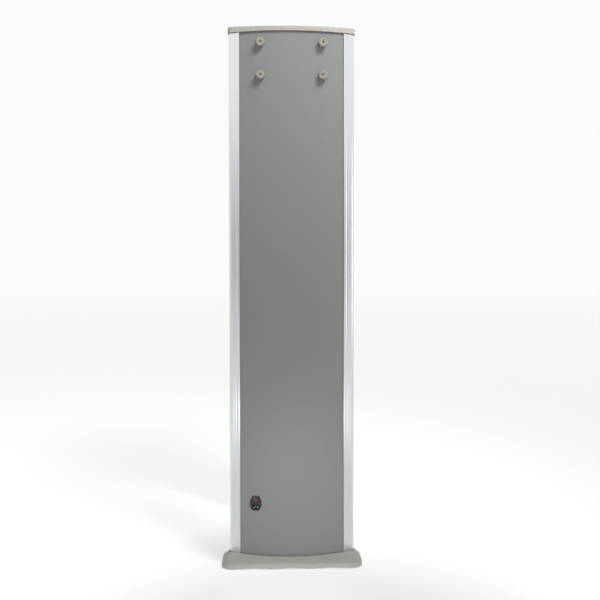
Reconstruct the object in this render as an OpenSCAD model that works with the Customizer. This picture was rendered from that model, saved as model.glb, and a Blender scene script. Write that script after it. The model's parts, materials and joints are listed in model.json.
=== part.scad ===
// Walk-through security gate: two coil uprights on moulded feet, joined at the top by an
// electronics crossbeam that four hand bolts on each side pull tight.
// +Z is up, +X crosses the passage, +Y is the walking direction, the origin is on the floor
// in the middle of the passage. The mains inlet is in the upright on +X.

/* [Gate] */
// Overall height, from the floor to the top of the caps
gate_h = 2220; // [1800:10:2700]
// Clear width between the two uprights
passage_w = 720; // [600:5:900]

/* [Uprights] */
// Length of an upright along the walking direction
upright_l = 516; // [430:1:620]
// Thickness of an upright at its front and rear edges
edge_t = 33; // [30:0.5:45]
// How far the outer face bows out in the middle
bow = 25; // [18:1:40]
// Width of an edge profile, seen square-on
profile_w = 43; // [36:1:55]
// Wall of the aluminium edge profiles
profile_wall = 2.5; // [2:0.1:3]
// Thickness of the two boards
board_t = 4; // [3:0.5:5]
// Width of the raised bead beside the outer board
bead_w = 11; // [6:1:14]
// Height of that bead
bead_h = 1.2; // [0.6:0.1:1.4]

/* [Caps and feet] */
// Height of the cap's skirt at its ends
cap_skirt = 25; // [18:1:34]
// Wall of the cap's skirt
cap_wall = 2.4; // [2:0.1:4]
// How far a foot reaches past each end of its upright
foot_end = 32; // [26:1:60]
// How far a foot reaches past the bowed face, and as far on its other side
foot_reach = 39.5; // [34:0.5:70]
// Height of a foot's sloping cover
foot_h = 49; // [44:1:70]
// Height of the upright rim round the foot
foot_rim = 20; // [14:1:24]
// Thickness of the steel plate inside the foot
plate_t = 8; // [6:1:10]
// Height of the rubber pads
pad_h = 4; // [4:0.5:8]
// Radius of a tapped hole for a floor bolt
floor_hole_r = 4.25; // [3:0.05:6]
// Floor bolt pitch across the passage
floor_pitch_x = 104; // [90:2:110]
// Distance of the outer rubber pads from the ends of a foot
pad_end = 50; // [40:2:70]

/* [Hand bolts] */
// Pitch of the hand bolts along the walking direction
bolt_pitch_y = 256; // [220:2:280]
// Pitch of the hand bolts in height
bolt_pitch_z = 133; // [110:1:150]
// Height of the lower pair below the top of the gate
bolt_drop = 201; // [180:1:220]
// Radius of the hand bolt's head
knob_r = 18; // [14:0.5:22]
// Length of the hand bolt's head
knob_h = 18; // [12:1:24]
// Radius of the hand bolt's shank
shank_r = 4; // [3:0.5:5]

/* [Crossbeam] */
// Height of the crossbeam above and below its bolts
beam_edge_z = 28.5; // [24:0.5:32]
// Depth of the crossbeam in front of and behind its bolts
beam_edge_y = 22; // [18:1:40]
// Sheet thickness of the crossbeam
sheet_t = 1.5; // [1:0.1:2]
// How far the front panel stands off the beam
fascia_d = 10; // [8:1:14]
// How far a key travels
key_travel = 2; // [1:0.5:2]

/* [Mains inlet] */
// Height of the inlet's centre above the floor
inlet_z = 260; // [230:5:320]
// How far the inlet sits in front of the upright's middle, along the face
inlet_y = 150; // [110:1:150]
// Overall width of the inlet's flange
inlet_w = 48; // [44:1:52]
// Overall height of the inlet's flange
inlet_h = 59; // [56:1:64]

/* [Hidden] */
$fn = 48;

// Colours
board_grey = [0.55, 0.56, 0.53];
cap_grey = [0.74, 0.72, 0.68];
foot_grey = [0.60, 0.61, 0.57];
sheet_grey = [0.80, 0.80, 0.78];
silver = [0.80, 0.83, 0.85];
steel = [0.62, 0.63, 0.65];
board_green = [0.10, 0.36, 0.22];
black = [0.06, 0.06, 0.07];

// Clearances
seat = 0.2;          // glue or slip gap between pieces that stay put
run = 0.05;          // radial clearance of a shaft that turns
free = 0.4;          // gap round a piece that slides or rocks
eps = 0.01;
arc_fn = 720;        // segments of the long, shallow arcs

// Upright cross-section: local x is 0 on the inner face and grows outwards
half_l = upright_l / 2;
upright_t = edge_t + bow;
face_r = (half_l * half_l + bow * bow) / (2 * bow);
face_cx = upright_t - face_r;
outer_corner_r = 12;
inner_corner_r = 10;
board_in = profile_wall + seat;                    // inset of a board's visible face
board_back = board_in + board_t;                   // inset of its hidden face
flange_in = board_back + seat;
flange_t = 2;
visible_half = half_l - profile_w;                 // half the visible width of a board
board_half = visible_half + 11;                    // the boards run under the profiles' lips
function face_x(y, inset) = face_cx + sqrt(pow(face_r - inset, 2) - y * y);

// Caps and feet
cap_slip = bead_h + free;
cap_grow = cap_slip + cap_wall;
cap_top_t = 3;
cap_z = gate_h - cap_skirt;
cap_arch = 5;                                      // the skirt's lower edge rises in the middle
cap_bevel = 5;
upright_top = gate_h - cap_top_t;
plate_z = pad_h;
plate_top = plate_z + plate_t;
foot_x = edge_t / 2;                               // centre of a foot in local x
foot_l = upright_l + 2 * foot_end;
foot_w = 2 * (upright_t - foot_x + foot_reach);
foot_wall = 3;
foot_corner_r = 40;
foot_gap = 2;                                      // the cover's rim stays off the floor
collar = 5;                                        // level land round the upright
plate_inset = 10;
pad_r = 14;
pad_count = 4;
pad_pitch = (foot_l - 2 * pad_end) / (pad_count - 1);
pad_x = foot_w / 2 - 25;
floor_pitch_y = 2 * pad_pitch;                     // midway between the outer pads

// Inner structure of the uprights
block_half = visible_half - 10;
head_top = gate_h - 20;
bolt_low = gate_h - bolt_drop;
head_z = bolt_low - 19;
foot_block_top = plate_top + 48;
coil_w = 12;
coil_d = 14;
coil_z = foot_block_top + 15;
coil_top = head_z - 40;
core_t = 17;
core_windows = 5;
core_bar = 45;
core_rail = 27;
core_x = board_back + seat;

// Hand bolts: 1 front low, 2 rear low, 3 front high, 4 rear high
bolt_y = [-bolt_pitch_y / 2, bolt_pitch_y / 2, -bolt_pitch_y / 2, bolt_pitch_y / 2];
bolt_z = [bolt_low, bolt_low, bolt_low + bolt_pitch_z, bolt_low + bolt_pitch_z];
neck_r = 9;
neck_h = 4;
neck_x = face_x(bolt_pitch_y / 2 - neck_r, board_in) + seat;
knob_bevel = 3;
sleeve_r = 8;
bush_r = 8;
bush_l = 20;
shank_end = bush_l - 2;                            // how deep the shank goes into the beam

// Crossbeam
beam_x = passage_w / 2 + board_in;                 // its ends lie on the inner boards
beam_z = bolt_low - beam_edge_z;
beam_top = bolt_low + bolt_pitch_z + beam_edge_z;
beam_y = bolt_pitch_y / 2 + beam_edge_y;
lip = 14;                                          // width of the lips round its two openings
wire_y = 60;
wire_z = beam_z + 100;
wire_x = core_x + core_t + 6.1;
wire_hole_r = 9;
floor_z = beam_z + sheet_t;

// Front panel
panel_half = passage_w / 2 - 4;
panel_y = -beam_y - fascia_d;                      // its front face
panel_t = 3;
panel_z = beam_z + 2;
panel_top = beam_top - 2;
back_y = panel_y + panel_t;                        // its back face
display_x = -120;
display_w = 180;
display_h = 56;
row_z = beam_z + 90;                               // height of the display and the keys
lens_w = 420;
lens_h = 12;
lens_z = beam_top - 35;
key_r = 8;
key_x = [50, 88, 126, 164];
siren_x = panel_half - 86;
siren_r = 20;
board_y = back_y + 14;                             // front face of the display board
pcb_t = 1.6;

// Rear service door
door_y = beam_y + free;
door_t = 2;
door_half = panel_half;
hinge_y = beam_y + 5;
hinge_z = beam_z + 5;
knuckle_r = 4;
knuckle_l = 30;
hinge_r = 2;
knuckle_x = [106 - door_half, 0, door_half - 106];
lock_z = beam_top - 24;
lock_r = 9;

// Mains inlet, in its own frame: x outwards from the board's face, y across, z up
inlet_angle = asin(inlet_y / (face_r - board_in));
inlet_depth = 30;
inlet_body_w = 28;
inlet_body_h = 51;
inlet_flange = 3;
inlet_screw_y = 20;
socket_w = 24;
socket_h = 16.5;
socket_z = -16;
socket_depth = 16;
drawer_w = 23.6;
drawer_h = 7.6;
drawer_z = -2.5;
drawer_depth = 18;
rocker_w = 19;
rocker_h = 14.6;
rocker_z = 14.5;
rocker_pivot = -5;
rocker_tilt = 8;
rocker_well = 11.5;
rocker_pin_r = 1.5;
pin_tail = 5;

// Placing: the right upright is on +X, the left one is its mirror image
module right() { translate([passage_w / 2, 0, 0]) children(); }
module left() { mirror([1, 0, 0]) right() children(); }
module both() {
  right() children();
  left() children();
}
module on_inlet() {
  translate([passage_w / 2 + face_cx, 0, inlet_z]) rotate([0, 0, -inlet_angle])
    translate([face_r - board_in, 0, 0]) children();
}
module along_x(x0, x1, r) { translate([x0, 0, 0]) rotate([0, 90, 0]) cylinder(h = x1 - x0, r = r); }
module along_y(y0, y1, r) { translate([0, y0, 0]) rotate([-90, 0, 0]) cylinder(h = y1 - y0, r = r); }
module box(x0, x1, y0, y1, z0, z1) { translate([x0, y0, z0]) cube([x1 - x0, y1 - y0, z1 - z0]); }

// The upright's outline, grown outwards by a distance
module plan(grow) {
  r = face_r + grow;
  half = half_l + grow;
  far_r = outer_corner_r + grow;
  near_r = inner_corner_r + grow;
  far_y = half - far_r;
  far_x = face_cx + sqrt(pow(r - far_r, 2) - far_y * far_y);
  touch_y = far_y * r / (r - far_r);
  intersection() {
    translate([face_cx, 0]) circle(r = r, $fn = arc_fn);
    translate([inner_corner_r, -touch_y]) square([upright_t + 20, 2 * touch_y]);
  }
  translate([-grow, near_r - half]) square([inner_corner_r + grow, 2 * (half - near_r)]);
  translate([inner_corner_r, -half]) square([far_x - inner_corner_r, 2 * half]);
  for (side = [-1, 1]) {
    translate([far_x, side * far_y]) circle(r = far_r);
    translate([inner_corner_r, side * (half - near_r)]) circle(r = near_r);
  }
}
module ring(outer, inner) {
  difference() {
    plan(-outer);
    plan(-inner);
  }
}
module slab(z0, z1) { translate([0, 0, z0]) linear_extrude(z1 - z0) children(); }

// Boards
module face_board() {
  slab(plate_top, upright_top) intersection() {
    ring(board_in, board_back);
    translate([inner_corner_r, -board_half]) square([upright_t, 2 * board_half]);
  }
}
module back_board() { box(board_in, board_back, -board_half, board_half, plate_top, upright_top); }
module at_bolts() { for (i = [0:3]) translate([0, bolt_y[i], bolt_z[i]]) children(); }
module at_wires() { for (side = [-1, 1]) translate([0, side * wire_y, wire_z]) children(); }
module bolt_holes() { at_bolts() along_x(-1, upright_t + 1, shank_r + 0.6); }
module wire_holes() { at_wires() along_x(-1, wire_x, wire_hole_r); }
sensor_r = 6;
sensor_y = 140;
sensor_z = (coil_z + coil_top) / 2;                 // in the middle window of the coil's core
module sensor_holes() {
  for (side = [-1, 1]) translate([0, side * sensor_y, sensor_z]) along_x(-1, wire_x, sensor_r + seat);
}
module inlet_cutout() {
  on_inlet() {
    box(-20, 5, -inlet_body_w / 2 - seat, inlet_body_w / 2 + seat, -inlet_body_h / 2 - seat,
        inlet_body_h / 2 + seat);
    for (side = [-1, 1]) translate([0, side * inlet_screw_y, 0]) along_x(-20, 5, 1.8);
  }
}
module pierced_face_board() {
  difference() {
    face_board();
    bolt_holes();
  }
}
module outer_board_right() {
  color(board_grey) difference() {
    right() pierced_face_board();
    inlet_cutout();
  }
}
module outer_board_left() { color(board_grey) left() pierced_face_board(); }
module pierced_back_board() {
  difference() {
    back_board();
    bolt_holes();
    wire_holes();
    sensor_holes();
  }
}
module inner_board_right() { color(board_grey) right() pierced_back_board(); }
module inner_board_left() { color(board_grey) left() pierced_back_board(); }

// Edge profiles: a thin aluminium channel with a groove for each board
module edge_profile(side) {
  y0 = visible_half;
  web_y = board_half + seat;
  slab(plate_top, upright_top) mirror([0, side < 0 ? 1 : 0]) union() {
    intersection() {
      ring(0, profile_wall);
      translate([-1, y0]) square([upright_t, profile_w + 1]);
    }
    intersection() {
      ring(-bead_h, profile_wall);
      translate([inner_corner_r, y0]) square([upright_t, bead_w]);
    }
    intersection() {
      ring(flange_in, flange_in + flange_t);
      translate([-1, y0]) square([upright_t, web_y + flange_t - y0]);
    }
    intersection() {
      ring(profile_wall - eps, flange_in + flange_t);
      translate([-1, web_y]) square([upright_t, flange_t]);
    }
  }
}
module front_profile_right() { color(silver) right() edge_profile(-1); }
module rear_profile_right() { color(silver) right() edge_profile(1); }
module front_profile_left() { color(silver) left() edge_profile(-1); }
module rear_profile_left() { color(silver) left() edge_profile(1); }

// Top cap: a moulded lid whose skirt slips over the upright's end
cap_screw_y = block_half - 35;
cap_screw_x = edge_t / 2 + 7.5;
cap_sink = 2.2;
module top_cap() {
  cap_half = half_l + cap_grow;
  arch_r = (cap_half * cap_half + cap_arch * cap_arch) / (2 * cap_arch);
  difference() {
    hull() {
      slab(cap_z, gate_h - cap_bevel) plan(cap_grow);
      slab(gate_h - eps, gate_h) plan(cap_grow - cap_bevel);
    }
    hull() slab(cap_z - 1, upright_top) plan(cap_slip);
    translate([0, 0, cap_z + cap_arch - arch_r]) along_x(-20, upright_t + 20, arch_r, $fn = 2 * arc_fn);
    for (side = [-1, 1]) translate([cap_screw_x, side * cap_screw_y, gate_h]) {
      translate([0, 0, -cap_top_t - 1]) cylinder(h = cap_top_t + 2, r = 2.2);
      translate([0, 0, -cap_sink]) cylinder(h = cap_sink + eps, r1 = 2.2, r2 = 2.2 + cap_sink);
    }
  }
}
module top_cap_right() { color(cap_grey) right() top_cap(); }
module top_cap_left() { color(cap_grey) left() top_cap(); }

// Foot cover: an upright rim, then slopes up to a level land round the upright
module rounded(l, w, r) {
  for (a = [-1, 1], b = [-1, 1]) translate([foot_x + a * (w / 2 - r), b * (l / 2 - r)]) circle(r = r);
  translate([foot_x - w / 2 + r, -l / 2]) square([w - 2 * r, l]);
  translate([foot_x - w / 2, -l / 2 + r]) square([w, l - 2 * r]);
}
module foot_form(inset) {
  hull() {
    slab(foot_gap - (inset > 0 ? 1 : 0), foot_gap + foot_rim - inset / 2)
      rounded(foot_l - 2 * inset, foot_w - 2 * inset, foot_corner_r - inset, $fn = 64);
    slab(foot_h - inset - eps, foot_h - inset)
      rounded(upright_l + 2 * (collar - inset), edge_t + 2 * (collar - inset), 14 - inset);
  }
}
boss_r = 6;
boss_y = half_l + 14;
boss_x = foot_w / 2 - 23;
module at_bosses() {
  for (side = [-1, 1]) {
    translate([foot_x, side * boss_y, 0]) children();
    translate([foot_x + side * boss_x, 0, 0]) children();
  }
}
module foot_cover() {
  difference() {
    union() {
      difference() {
        foot_form(0);
        foot_form(foot_wall);
      }
      intersection() {
        foot_form(0);
        at_bosses() translate([0, 0, plate_top]) cylinder(h = foot_h, r = boss_r);
      }
    }
    slab(0, foot_h + 1) plan(cap_slip);
    at_bosses() translate([0, 0, plate_top - 1]) cylinder(h = 16, r = 2);
  }
}
module foot_cover_right() { color(foot_grey) right() foot_cover(); }
module foot_cover_left() { color(foot_grey) left() foot_cover(); }

// Foot plate: the steel plate that carries the upright, tapped for floor bolts
anchor_y = 120;
module foot_plate() {
  slab(plate_z, plate_top) difference() {
    rounded(foot_l - 2 * plate_inset, foot_w - 2 * plate_inset, foot_corner_r - plate_inset);
    for (a = [-1, 1], b = [-1, 1])
      translate([foot_x + a * floor_pitch_x / 2, b * floor_pitch_y / 2]) circle(r = floor_hole_r);
    for (side = [-1, 1]) {
      translate([foot_x, side * boss_y]) circle(r = 2.2);
      translate([foot_x + side * boss_x, 0]) circle(r = 2.2);
      translate([foot_x, side * anchor_y]) circle(r = 4.5);
    }
  }
}
module foot_plate_right() { color(steel) right() foot_plate(); }
module foot_plate_left() { color(steel) left() foot_plate(); }
module floor_pads() {
  color(black) both() for (a = [-1, 1], i = [0:pad_count - 1])
    translate([foot_x + a * pad_x, (i - (pad_count - 1) / 2) * pad_pitch, 0])
      cylinder(h = pad_h, r = pad_r);
}

// Blocks that close the two ends of an upright
module block(z0, z1) {
  slab(z0, z1) intersection() {
    plan(-board_back - seat);
    translate([0, -block_half]) square([upright_t, 2 * block_half]);
  }
}
module head_block() {
  difference() {
    block(head_z, head_top);
    at_bolts() along_x(0, upright_t, sleeve_r + seat);
    wire_holes();
    for (side = [-1, 1]) {
      translate([wire_x, side * wire_y, head_z - 1])
        cylinder(h = wire_z - head_z + wire_hole_r, r = wire_hole_r);
      translate([cap_screw_x, side * cap_screw_y, head_top - 20]) cylinder(h = 30, r = 2);
    }
  }
}
module head_blocks() { color([0.72, 0.60, 0.42]) both() head_block(); }
module foot_blocks() {
  color([0.72, 0.60, 0.42]) both() difference() {
    block(plate_top, foot_block_top);
    for (side = [-1, 1]) translate([foot_x, side * anchor_y, 0]) cylinder(h = foot_block_top - 6, r = 4.2);
  }
}

// Coil core: a ladder-shaped board with the coil wound round its edge
module coil_core() {
  x0 = core_x;
  z0 = coil_z + coil_w + seat;
  z1 = coil_top - coil_w - seat;
  half = board_half - coil_w - 9;
  step = (z1 - z0 - core_bar) / core_windows;
  difference() {
    box(x0, x0 + core_t, -half, half, z0, z1);
    for (i = [0:core_windows - 1])
      box(x0 - 1, x0 + core_t + 1, -half + core_rail, half - core_rail, z0 + core_bar + i * step,
          z0 + (i + 1) * step);
  }
}
module coil_cores() { color([0.86, 0.82, 0.70]) both() coil_core(); }
module coil() {
  x0 = core_x + core_t - coil_d;
  half = board_half - 9 + seat;
  difference() {
    box(x0, x0 + coil_d, -half, half, coil_z, coil_top);
    box(x0 - 1, x0 + coil_d + 1, -half + coil_w, half - coil_w, coil_z + coil_w, coil_top - coil_w);
  }
}
module transmit_coil() { color([0.66, 0.32, 0.16]) right() coil(); }
module receive_coil() { color([0.66, 0.32, 0.16]) left() coil(); }

// Hand bolts and the tubes that they clamp through
module bolt_sleeve() {
  difference() {
    along_x(board_back, face_x(bolt_pitch_y / 2 + sleeve_r, board_back), sleeve_r);
    along_x(0, upright_t, shank_r + 0.5);
  }
}
module bolt_sleeves() { color(steel) both() at_bolts() bolt_sleeve(); }
module hand_bolt(i) {
  head_x = neck_x + neck_h;
  translate([0, bolt_y[i], bolt_z[i]]) difference() {
    union() {
      along_x(board_in - sheet_t - shank_end, neck_x + 1, shank_r);
      along_x(neck_x, head_x + 1, neck_r);
      along_x(head_x, head_x + knob_h - knob_bevel, knob_r);
      translate([head_x + knob_h - knob_bevel, 0, 0]) rotate([0, 90, 0])
        cylinder(h = knob_bevel, r1 = knob_r, r2 = knob_r - knob_bevel);
    }
    along_x(head_x + knob_h - 3, head_x + knob_h + 1, knob_r / 4);
  }
}
module hand_bolt_right_1() { color(cap_grey) right() hand_bolt(0); }
module hand_bolt_right_2() { color(cap_grey) right() hand_bolt(1); }
module hand_bolt_right_3() { color(cap_grey) right() hand_bolt(2); }
module hand_bolt_right_4() { color(cap_grey) right() hand_bolt(3); }
module hand_bolt_left_1() { color(cap_grey) left() hand_bolt(0); }
module hand_bolt_left_2() { color(cap_grey) left() hand_bolt(1); }
module hand_bolt_left_3() { color(cap_grey) left() hand_bolt(2); }
module hand_bolt_left_4() { color(cap_grey) left() hand_bolt(3); }

// Mains inlet
module inlet_outline() {
  ear = 9;
  top = 14.5;
  polygon([
    [-top, inlet_h / 2], [-inlet_w / 2, ear], [-inlet_w / 2, -ear], [-top, -inlet_h / 2],
    [top, -inlet_h / 2], [inlet_w / 2, -ear], [inlet_w / 2, ear], [top, inlet_h / 2]
  ]);
}
module socket_outline(grow) {
  w = socket_w / 2 + grow;
  h = socket_h / 2 + grow;
  cut = 5;
  polygon([[-w, -h], [w, -h], [w, h - cut], [w - cut, h], [cut - w, h], [-w, h - cut]]);
}
module facing_out(x0, x1) { translate([x0, 0, 0]) rotate([90, 0, 90]) linear_extrude(x1 - x0) children(); }
module inlet_housing() {
  pins_y = rocker_h / 2 + 2.2;
  color(black) on_inlet() difference() {
    union() {
      facing_out(seat, seat + inlet_flange) inlet_outline();
      box(-inlet_depth, seat + eps, -inlet_body_w / 2, inlet_body_w / 2, -inlet_body_h / 2,
          inlet_body_h / 2);
      translate([0, 0, socket_z]) facing_out(inlet_flange, inlet_flange + 1.6) socket_outline(1);
    }
    translate([0, 0, socket_z]) facing_out(inlet_flange - socket_depth, inlet_flange + 5) socket_outline(0);
    box(-drawer_depth - 1.5, inlet_flange + 1, -drawer_w / 2 - free, drawer_w / 2 + free,
        drawer_z - drawer_h / 2 - free, drawer_z + drawer_h / 2 + free);
    box(-rocker_well, inlet_flange + 1, -rocker_w / 2 - 1.5, rocker_w / 2 + 1.5,
        rocker_z - rocker_h / 2 - free, rocker_z + rocker_h / 2 + free);
    translate([rocker_pivot, 0, rocker_z - pins_y - 0.3])
      cylinder(h = 2 * pins_y + 0.6, r = rocker_pin_r + run);
    for (side = [-1, 1]) translate([0, side * inlet_screw_y, 0]) {
      along_x(-1, inlet_flange + 1, 1.7);
      translate([seat + inlet_flange - 1.8, 0, 0]) rotate([0, 90, 0]) cylinder(h = 2, r1 = 1.7, r2 = 3.4);
    }
    at_pins() box(-inlet_depth - 1, 0, -1 - eps, 1 + eps, -2 - eps, 2 + eps);
  }
}
module at_pins() {
  translate([0, 0, socket_z + 2]) children();
  for (side = [-1, 1]) translate([0, side * 7, socket_z - 2]) children();
}
module inlet_pins() {
  color(silver) on_inlet() at_pins() box(-inlet_depth - pin_tail, inlet_flange - 2, -1, 1, -2, 2);
}
module power_rocker() {
  color([0.55, 0.10, 0.08]) on_inlet()
    translate([rocker_pivot, 0, rocker_z]) rotate([0, 0, -rocker_tilt]) {
      translate([0, 0, -rocker_h / 2]) linear_extrude(rocker_h) polygon([
        [-4, -7], [2, -rocker_w / 2], [9.5, -rocker_w / 2], [8.2, 0], [9.5, rocker_w / 2],
        [2, rocker_w / 2], [-4, 7]
      ]);
      translate([0, 0, -rocker_h / 2 - 2]) cylinder(h = rocker_h + 4, r = rocker_pin_r);
    }
}
fuse_r = 2.5;
fuse_l = 20;
fuse_x = -9;
module fuse_drawer() {
  pocket_r = fuse_r + seat;
  color(black) on_inlet() translate([0, 0, drawer_z]) difference() {
    union() {
      box(-drawer_depth, inlet_flange, -drawer_w / 2, drawer_w / 2, -drawer_h / 2, drawer_h / 2);
      box(inlet_flange - 1, inlet_flange + 1.2, -6, 6, -drawer_h / 2, drawer_h / 2 - 3);
    }
    box(fuse_x - pocket_r, fuse_x + pocket_r, -fuse_l / 2 - seat, fuse_l / 2 + seat, -drawer_h / 2 + 1.4,
        drawer_h / 2 + 1);
  }
}
module fuse() {
  color([0.9, 0.9, 0.85]) on_inlet()
    translate([fuse_x, 0, drawer_z - drawer_h / 2 + 1.4 + fuse_r + 0.1]) {
      along_y(-fuse_l / 2, fuse_l / 2, fuse_r - 0.2);
      along_y(-fuse_l / 2, -fuse_l / 2 + 5, fuse_r);
      along_y(fuse_l / 2 - 5, fuse_l / 2, fuse_r);
    }
}
module inlet_screws() {
  color(steel) on_inlet() for (side = [-1, 1]) translate([0, side * inlet_screw_y, 0]) {
    along_x(-10, seat + inlet_flange - 1.7, 1.5);
    translate([seat + inlet_flange - 1.7, 0, 0]) rotate([0, 90, 0]) cylinder(h = 1.7, r1 = 1.5, r2 = 3.2);
    translate([-board_t - 2.6, 0, 0]) rotate([0, 90, 0]) cylinder(h = 2.4, r = 3.2, $fn = 6);
  }
}

// Wires: a tube swept along a smooth curve through hand-placed points
function unit(v) = v / norm(v);
function between(a, b, c, d, t) = 0.5 * (2 * b + (c - a) * t + (2 * a - 5 * b + 4 * c - d) * t * t
  + (3 * b - 3 * c + d - a) * t * t * t);
function smooth(p, n) = [
  for (i = [0:len(p) - 2]) for (k = [0:n - 1])
    between(p[max(i - 1, 0)], p[i], p[i + 1], p[min(i + 2, len(p) - 1)], k / n),
  p[len(p) - 1]
];
function heading(p, i) = unit(p[min(i + 1, len(p) - 1)] - p[max(i - 1, 0)]);
function square_to(n, t) = unit(n - (n * t) * t);
module tube(p, r, sides = 8) {
  n = len(p);
  start = [0, 1, 0];
  normals = [for (i = 0, a = square_to(start, heading(p, 0)); i < n; i = i + 1,
    a = i < n ? square_to(a, heading(p, i)) : a) a];
  points = [for (i = [0:n - 1]) let (t = heading(p, i), a = normals[i], b = cross(t, a))
    for (k = [0:sides - 1]) p[i] + r * (cos(360 * k / sides) * a + sin(360 * k / sides) * b)];
  walls = [for (i = [0:n - 2], k = [0:sides - 1]) let (m = (k + 1) % sides)
    [i * sides + k, (i + 1) * sides + k, (i + 1) * sides + m, i * sides + m]];
  ends = [[for (k = [0:sides - 1]) k], [for (k = [sides - 1:-1:0]) (n - 1) * sides + k]];
  polyhedron(points, concat(walls, ends));
}
cable_r = 2.6;
// Into the beam from the upright: up the channel, over, and through the beam's end
function into_beam(y) = [
  [wire_x, y, head_z - 20], [wire_x, y, wire_z - 40], [wire_x - 3, y, wire_z - 16],
  [wire_x - 14, y, wire_z - 2], [0, y, wire_z], [-20, y, wire_z]
];
supply_x1 = beam_x - 62;
supply_x0 = supply_x1 - 150;
supply_h = 38;
module power_cable() {
  beside = inlet_y * (face_r - 40) / (face_r - board_in);
  back = face_x(inlet_y, board_in) - inlet_depth;
  low = board_back + cable_r + 0.8;
  route = concat(
    [[back, -beside, inlet_z + 2], [back - 2, -beside, inlet_z + 2], [low + 1.2, -beside, inlet_z + 4.5],
     [low, -beside, inlet_z + 10], [low, -beside, inlet_z + 40],
     [low + 5, -beside + 4, inlet_z + 80], [wire_x, -beside + 12, inlet_z + 130],
     [wire_x + 1, -beside + 30, inlet_z + 240], [wire_x + 1, -100, (inlet_z + head_z) / 2],
     [wire_x, -70, head_z - 160], [wire_x, -wire_y - 2, head_z - 70]],
    into_beam(-wire_y),
    [[-36, -wire_y, wire_z - 10], [-44, -wire_y, wire_z - 27], [-47, -wire_y, wire_z - 50],
     [-50, -wire_y, floor_z + supply_h - 8], [-55.5, -wire_y, floor_z + supply_h - 13.8],
     [supply_x1 - passage_w / 2, -wire_y, floor_z + supply_h - 14]]);
  color(black) right() tube(smooth(route, 4), cable_r);
}
mother_x0 = 110 - passage_w / 2;
mother_x1 = 90;
lead_r = 2.5;
module coil_lead(reach) {
  route = concat(
    [[core_x + core_t / 2, wire_y, coil_top], [board_back + core_t / 2 + 2, wire_y, coil_top + 10]],
    into_beam(wire_y),
    [[-40, wire_y, wire_z - 12], [-56, wire_y, wire_z - 46], [-74, wire_y, wire_z - 68],
     [reach / 2 - 40, wire_y, floor_z + 20], [reach, wire_y, floor_z + 20]]);
  tube(smooth(route, 4), lead_r);
}
module coil_leads() {
  color([0.75, 0.75, 0.72]) {
    right() coil_lead(mother_x1 - passage_w / 2);
    left() coil_lead(-mother_x0 - passage_w / 2);
  }
}

// People-counting light barriers in the inner boards
module sensors() {
  for (side = [-1, 1]) translate([0, side * sensor_y, sensor_z]) {
    along_x(board_in - 1.6, board_in, sensor_r + 2);
    along_x(board_in - eps, board_in + 22, sensor_r);
    along_x(board_back, board_back + 4, sensor_r + 3);
  }
}
module beam_emitters() { color([0.25, 0.03, 0.05]) right() sensors(); }
module beam_receivers() { color([0.25, 0.03, 0.05]) left() sensors(); }

// Screws of the caps and feet
module cap_screws() {
  color(steel) both() for (side = [-1, 1]) translate([cap_screw_x, side * cap_screw_y, 0]) {
    translate([0, 0, head_top - 18]) cylinder(h = gate_h - head_top + 17, r = 1.9);
    translate([0, 0, gate_h - cap_sink]) cylinder(h = cap_sink, r1 = 1.9, r2 = 1.9 + cap_sink);
  }
}
module foot_screws() {
  color(steel) both() {
    at_bosses() translate([0, 0, plate_z - 2.2]) {
      cylinder(h = 2.2, r = 4);
      cylinder(h = plate_t + 14, r = 1.9);
    }
    for (side = [-1, 1]) translate([foot_x, side * anchor_y, plate_z - 2.6]) {
      cylinder(h = 2.6, r = 7);
      cylinder(h = plate_t + 40, r = shank_r);
    }
  }
}

// Crossbeam
module beam_shell() {
  color(sheet_grey) {
    difference() {
      box(-beam_x, beam_x, -beam_y, beam_y, beam_z, beam_top);
      box(sheet_t - beam_x, beam_x - sheet_t, sheet_t - beam_y, beam_y - sheet_t, floor_z,
          beam_top - sheet_t);
      box(lip - beam_x, beam_x - lip, -beam_y - 1, beam_y + 1, beam_z + lip, beam_top - lip);
      at_bolts() along_x(-beam_x - 1, beam_x + 1, shank_r + 0.5);
      at_wires() along_x(-beam_x - 1, beam_x + 1, wire_hole_r);
      at_panel_screws() along_y(-beam_y - 1, -beam_y + 3, 1.7);
    }
    for (x = knuckle_x) difference() {
      union() {
        box(x, x + knuckle_l, beam_y - eps, hinge_y, beam_z + 1, hinge_z + knuckle_r);
        translate([0, hinge_y, hinge_z]) along_x(x, x + knuckle_l, knuckle_r);
      }
      translate([0, hinge_y, hinge_z]) along_x(x - 1, x + knuckle_l + 1, hinge_r + run);
    }
  }
}
module weld_bushes() {
  color(steel) both() at_bolts() difference() {
    along_x(board_in - sheet_t - bush_l, board_in - sheet_t, bush_r);
    along_x(-bush_l - 5, 5, shank_r + run);
  }
}
module at_panel_screws() {
  for (side = [-1, 1], z = [beam_z + lip / 2, beam_top - lip / 2])
    translate([side * (panel_half - 10), 0, z]) children();
}
module on_display(y0, y1, w, h) {
  box(display_x - w / 2, display_x + w / 2, y0, y1, row_z - h / 2, row_z + h / 2);
}
module on_lens(y0, y1, w, h) { box(-w / 2, w / 2, y0, y1, lens_z - h / 2, lens_z + h / 2); }
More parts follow.
